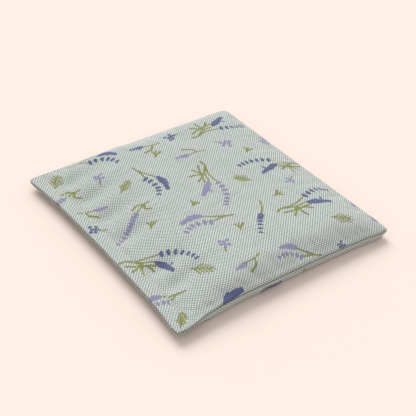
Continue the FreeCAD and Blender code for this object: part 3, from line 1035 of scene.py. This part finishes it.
# -------------------- threads, seed and lavender
def make_piece(name, points, faces, material, replaced):
    """Makes a piece from points in mm, in place of one CAD node."""
    mesh = bpy.data.meshes.new(name)
    mesh.from_pydata((np.asarray(points) * MM).tolist(), [], faces)
    mesh.shade_smooth()
    mesh.materials.append(material)
    piece = add_object(name, mesh)
    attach(piece, "root")
    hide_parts(replaced)
    return piece


def on_cloth(x_places, y_places, side, slack):
    """Points on a panel's outer face, at every pair of these places, after the simulation."""
    x, y = np.meshgrid(x_places, y_places)
    still = np.zeros_like(x)
    return panel_points(x, y, still, still, side, slack_moves(slack, side, x_places, y_places))


def tube(path, radius, sides=8):
    """Points and faces of a closed tube along a path."""
    run = np.gradient(path, axis=0)
    run = run / np.linalg.norm(run, axis=1, keepdims=True)
    level = np.cross(run, (0.0, 0.0, 1.0))
    level = level / np.maximum(np.linalg.norm(level, axis=1, keepdims=True), 1e-9)
    above = np.cross(level, run)
    rings = []
    for turn in np.arange(sides) * 2 * math.pi / sides:
        rings.append(path + radius * (math.cos(turn) * level + math.sin(turn) * above))
    points = np.stack(rings, 1)
    count = len(path)
    index = np.arange(count * sides).reshape(count, sides)
    around = np.roll(index, -1, axis=1)
    faces = np.stack([index[:-1], around[:-1], around[1:], index[1:]], -1).reshape(-1, 4).tolist()
    faces.append(index[0, ::-1].tolist())
    faces.append(index[-1].tolist())
    return points.reshape(-1, 3), faces


STITCH_MARGIN = 4.0  # from each end of the topstitch to the sewn side
STITCH_LIFT = 0.09  # how far the thread's centre lies above the cloth
STITCH_DIP = 0.62  # and how far it sinks at a needle hole
MOST_SUNK = 0.15  # how much deeper in the cloth the thread lies around SUNK_PLACE
SUNK_PLACE = 15.0
SUNK_REACH = 30.0
POINTS_PER_STITCH = 10
TOPSTITCH_RADIUS = 0.2
SEAM_THREAD_RADIUS = 0.11
OVERLOCK_RADIUS = 0.12
SEAM_LINE = 2.8  # from a sewn edge to the seam's threads
OVERLOCK_LINE = 8.9  # from a sewn edge to the middle of the overlock
OVERLOCK_HALF = 1.3  # half the overlock's width
POINTS_PER_LOOP = 8  # for the seam's stitches and the overlock's loops


def make_topstitch(name, side, material, replaced, slack):
    """One thread of the topstitch. Each stitch lies on the cloth and dips into it at both ends."""
    end = HALF_Y - STITCH_MARGIN
    stitches = round(2 * end / STITCH)
    y_places = np.linspace(-end, end, stitches * POINTS_PER_STITCH + 1)
    path = on_cloth(np.array([STITCH_LINE]), y_places, side, slack)[:, 0]
    dip = (0.5 + 0.5 * np.cos(2 * math.pi * np.arange(len(path)) / POINTS_PER_STITCH)) ** 5
    sunk = MOST_SUNK * np.exp(-(((y_places - SUNK_PLACE) / SUNK_REACH) ** 2))
    path[:, 2] += side * (STITCH_LIFT - sunk - STITCH_DIP * dip)
    points, faces = tube(path, TOPSTITCH_RADIUS)
    return make_piece(name, points, faces, material, replaced)


SEWN_START = 18.0  # from the closing edge to where the seam threads and overlock begin


def sewn_line(inward, spacing):
    """Flat places along the three sewn sides, a given distance in, from front to back."""
    low_x = -HALF_X + SEWN_START
    high_x = HALF_X - inward
    edge = HALF_Y - inward
    corners = np.array([(low_x, -edge), (high_x, -edge), (high_x, edge), (low_x, edge)])
    path = []
    for start, end in zip(corners[:-1], corners[1:]):
        count = max(round(np.linalg.norm(end - start) / spacing), 1)
        path.extend(start + (end - start) * step / count for step in range(count))
    return np.array([*path, corners[-1]])


def make_seam_thread(name, side, material, replaced):
    """One thread of the seam, a row of small waves through the turned-in allowances."""
    flat = sewn_line(SEAM_LINE, 0.35)
    x, y = outline(flat[:, 0], flat[:, 1])
    wave = 0.5 - 0.5 * np.cos(2 * math.pi * np.arange(len(flat)) / POINTS_PER_LOOP)
    height = seam_height(flat[:, 0], flat[:, 1]) + side * (0.12 + 0.78 * wave)
    points, faces = tube(np.stack([x, y, height], -1), SEAM_THREAD_RADIUS, 6)
    return make_piece(name, points, faces, material, replaced)


def make_overlock(material):
    """The overlock: thread that winds over the raw edges of the allowances."""
    flat = sewn_line(OVERLOCK_LINE, 0.4)
    inward = np.stack([-np.sign(flat[:, 0]), -np.sign(flat[:, 1])], -1)
    on_right = np.isclose(flat[:, 0], HALF_X - OVERLOCK_LINE)
    inward[on_right, 1] = 0
    inward[~on_right, 0] = 0
    turn = 2 * math.pi * np.arange(len(flat)) / POINTS_PER_LOOP
    x, y = outline(flat[:, 0], flat[:, 1])
    plan = np.stack([x, y], -1) + inward * (OVERLOCK_HALF * np.cos(turn))[:, None]
    height = seam_height(flat[:, 0], flat[:, 1]) + 0.9 * np.sin(turn)
    points, faces = tube(np.column_stack([plan, height]), OVERLOCK_RADIUS, 6)
    replaced = "edge_overlock_thread"
    return make_piece("overlock_stitches", points, faces, material, replaced)


BED_LEFT = 22.0  # from the closing edge to the seed
BED_SIDE = 11.5  # from a sewn edge to the seed
BED_GAP = 0.35  # between the seed and the cloth below it
BUD_ROOM = 1.6  # between the seed and the cloth above it
BED_LEFT_ROUND = 6.0  # how far in from its rim the seed bed takes to reach its full depth
BED_ROUND = 3.0
SEED_LUMPS = 0.18
SEED_LUMP_SIZE = 5.0


def bed_height(x_places, y_places, slack):
    """Heights of the bottom and top of the seed bed, which meet at its rim."""
    top = on_cloth(x_places, y_places, 1, slack)[..., 2] - CLOTH - BUD_ROOM
    bottom = on_cloth(x_places, y_places, -1, slack)[..., 2] + CLOTH + BED_GAP
    x, y = np.meshgrid(x_places, y_places)
    middle = seam_height(x, y)
    left = x + HALF_X - BED_LEFT
    right = HALF_X - BED_SIDE - x
    side = HALF_Y - BED_SIDE - np.abs(y)
    inside = quarter_round(left, BED_LEFT_ROUND) * quarter_round(right, BED_ROUND)
    inside = inside * quarter_round(side, BED_ROUND)
    lumps = SEED_LUMPS * swell(x, y, 31, SEED_LUMP_SIZE)
    return middle + (bottom - middle) * inside, middle + (top - middle + lumps) * inside


def make_seed_bed(slack):
    """The flax seed, as one lumpy bed that fills the pillow inside its allowances."""
    x_places = np.linspace(-HALF_X + BED_LEFT, HALF_X - BED_SIDE, 100)
    y_places = np.linspace(-HALF_Y + BED_SIDE, HALF_Y - BED_SIDE, 110)
    bottom, top = bed_height(x_places, y_places, slack)
    x, y = outline(*np.meshgrid(x_places, y_places))
    rows, columns = x.shape
    upper = np.stack([x, y, top], -1).reshape(-1, 3)
    lower = np.stack([x, y, bottom], -1).reshape(-1, 3)
    loop = rim_loop(rows, columns)
    count = rows * columns
    lower_index = np.arange(count) + count
    lower_index[loop] = loop  # the top and bottom share the points of the rim
    faces = grid_faces(rows, columns).tolist()
    faces += lower_index[grid_faces(rows, columns, 0, True)].tolist()
    used = np.unique(np.concatenate([np.arange(count), lower_index]))
    renumber = np.zeros(2 * count, dtype=int)
    renumber[used] = np.arange(len(used))
    faces = renumber[np.array(faces)].tolist()
    points = np.concatenate([upper, lower])[used]
    bed = make_piece("seed_bed", points, faces, seed_material(), "flax_seed_fill")


BUD_SPACING = 12.5
BUD_SCATTER = 2.5  # how far a bud strays from its place in the rows, each way
BUD_ASIDE = 3.0  # how far right of the middle the buds lie, clear of the hem
BUD_SEAT = 0.62  # height of a bud's middle above the seed
BUD_LENGTH = 4.4
BUD_WIDTH = 1.6
BUD_DEPTH = 1.0


def bud(heading):
    """One bud that lies flat and points along a heading."""
    rings = 9
    sides = 12
    around = np.arange(sides) * 2 * math.pi / sides
    places = []
    for angle in np.linspace(0.12, math.pi - 0.12, rings):
        ribbed = BUD_DEPTH / 2 * math.sin(angle) * (1 + 0.12 * np.cos(4 * around))
        along = np.full(sides, -BUD_LENGTH / 2 * math.cos(angle))
        across = BUD_WIDTH / BUD_DEPTH * ribbed * np.cos(around)
        places.append(np.stack([along, across, ribbed * np.sin(around)], -1))
    points = np.concatenate(places)
    turned = points.copy()
    turned[:, 0] = points[:, 0] * math.cos(heading) - points[:, 1] * math.sin(heading)
    turned[:, 1] = points[:, 0] * math.sin(heading) + points[:, 1] * math.cos(heading)
    index = np.arange(rings * sides).reshape(rings, sides)
    following = np.roll(index, -1, axis=1)
    faces = np.stack([index[:-1], following[:-1], following[1:], index[1:]], -1).reshape(-1, 4)
    faces = faces[:, ::-1].tolist()
    faces.append(index[0].tolist())
    faces.append(index[-1, ::-1].tolist())
    return turned, faces


def make_buds(slack):
    """Dried lavender buds scattered over the seed, each a small ribbed grain."""
    draw = np.random.RandomState(41)
    steps = np.arange(-3, 4) * BUD_SPACING
    points = []
    faces = []
    for x in steps:
        for y in steps:
            x_place = x + BUD_ASIDE + draw.uniform(-BUD_SCATTER, BUD_SCATTER)
            y_place = y + draw.uniform(-BUD_SCATTER, BUD_SCATTER)
            top = bed_height(np.array([x_place]), np.array([y_place]), slack)[1]
            bud_points, bud_faces = bud(draw.uniform(0, math.pi))
            moved = bud_points + np.array([x_place, y_place, top[0, 0] + BUD_SEAT])
            start = sum(map(len, points))
            points.append(moved)
            faces += [[start + corner for corner in face] for face in bud_faces]
    material = plain_material("dried_lavender", FADED_VIOLET, BUD_GRAIN, BUD_RELIEF)
    points = np.concatenate(points)
    make_piece("lavender_grains", points, faces, material, "lavender_buds")


# -------------------- the pillow How far the panels move as slack
# cloth.
slack = simulate_cloth()
top_cloth, top_uv = make_panel("top_cloth", 1, slack)
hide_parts("top_panel")
bottom_cloth, bottom_uv = make_panel("bottom_cloth", -1, slack)
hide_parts("bottom_panel")
canvas = printed_canvas()
for cloth, places, layout in ((top_cloth, top_uv, TOP_LAYOUT), (bottom_cloth, bottom_uv, BOTTOM_LAYOUT)):
    cloth.data.materials.append(canvas)
    store_print(cloth, draw_print(places, layout))

topstitch = plain_material("topstitch_thread", PALE_YELLOW, THREAD_GRAIN, THREAD_RELIEF)
make_topstitch("topstitch_upper", 1, topstitch, "closing_needle_thread", slack)
make_topstitch("topstitch_lower", -1, topstitch, "closing_bobbin_thread", slack)
sewing = plain_material("seam_thread", GREY_GREEN, THREAD_GRAIN, THREAD_RELIEF)
make_seam_thread("seam_stitches_upper", 1, sewing, "side_seam_needle_thread")
make_seam_thread("seam_stitches_lower", -1, sewing, "side_seam_bobbin_thread")
make_overlock(plain_material("overlock_thread", OFF_WHITE, THREAD_GRAIN, THREAD_RELIEF))
make_seed_bed(slack)
make_buds(slack)

# -------------------- camera, floor and light
CAMERA_LENS = 76.5
CAMERA_PLACE = (-0.2602, -0.3224, 0.3238)
CAMERA_BACK = (-0.4995, -0.6134, 0.6118)  # from what it looks at towards the camera
CAMERA_ROLL = 3.74  # degrees
FLOOR_HALF = 3.0
FLOOR_COLOUR = (0.82, 0.69, 0.62, 1)
SKY_STRENGTH = 0.72
SUN_POWER = 2.33
SUN_SPREAD = 40  # degrees across, for soft shadows
SUN_DIRECTION = (0.25, 0.85, 0.85)  # from the pillow towards the light, behind it


def make_camera():
    data = bpy.data.cameras.new("camera")
    data.lens = CAMERA_LENS
    data.sensor_width = 36.0
    camera = add_object("camera", data)
    camera.location = CAMERA_PLACE
    back = Vector(CAMERA_BACK).normalized()
    level = Vector((0, 0, 1)).cross(back).normalized()
    turn = Matrix((level, back.cross(level), back)).transposed().to_4x4()
    roll = Matrix.Rotation(math.radians(CAMERA_ROLL), 4, "Z")
    camera.matrix_world = Matrix.Translation(camera.location) @ turn @ roll
    bpy.context.scene.camera = camera


def make_floor():
    mesh = bpy.data.meshes.new("floor")
    corners = [(x * FLOOR_HALF, y * FLOOR_HALF, 0) for x, y in ((-1, -1), (1, -1), (1, 1), (-1, 1))]
    mesh.from_pydata(corners, [], [(0, 1, 2, 3)])
    floor = add_object("floor", mesh)
    nodes = Nodes("pale_floor")
    nodes.surface("Base Color", FLOOR_COLOUR)
    nodes.surface("Roughness", 0.9)
    mesh.materials.append(nodes.material)


def make_sun(power, spread_angle, direction):
    """Broad soft light. direction points from the pillow to the light."""
    data = bpy.data.lights.new("key", "SUN")
    data.energy = power
    data.angle = math.radians(spread_angle)
    light = add_object("key", data)
    light.rotation_euler = Vector(direction).to_track_quat("Z", "Y").to_euler()


def make_world():
    world = bpy.data.worlds.new("studio")
    world.use_nodes = True
    sky = world.node_tree.nodes["Background"]
    sky.inputs["Color"].default_value = (1.0, 1.0, 1.0, 1)
    sky.inputs["Strength"].default_value = SKY_STRENGTH
    bpy.context.scene.world = world


make_camera()
make_floor()
make_world()
make_sun(SUN_POWER, SUN_SPREAD, SUN_DIRECTION)
bpy.context.scene.view_settings.view_transform = "Standard"
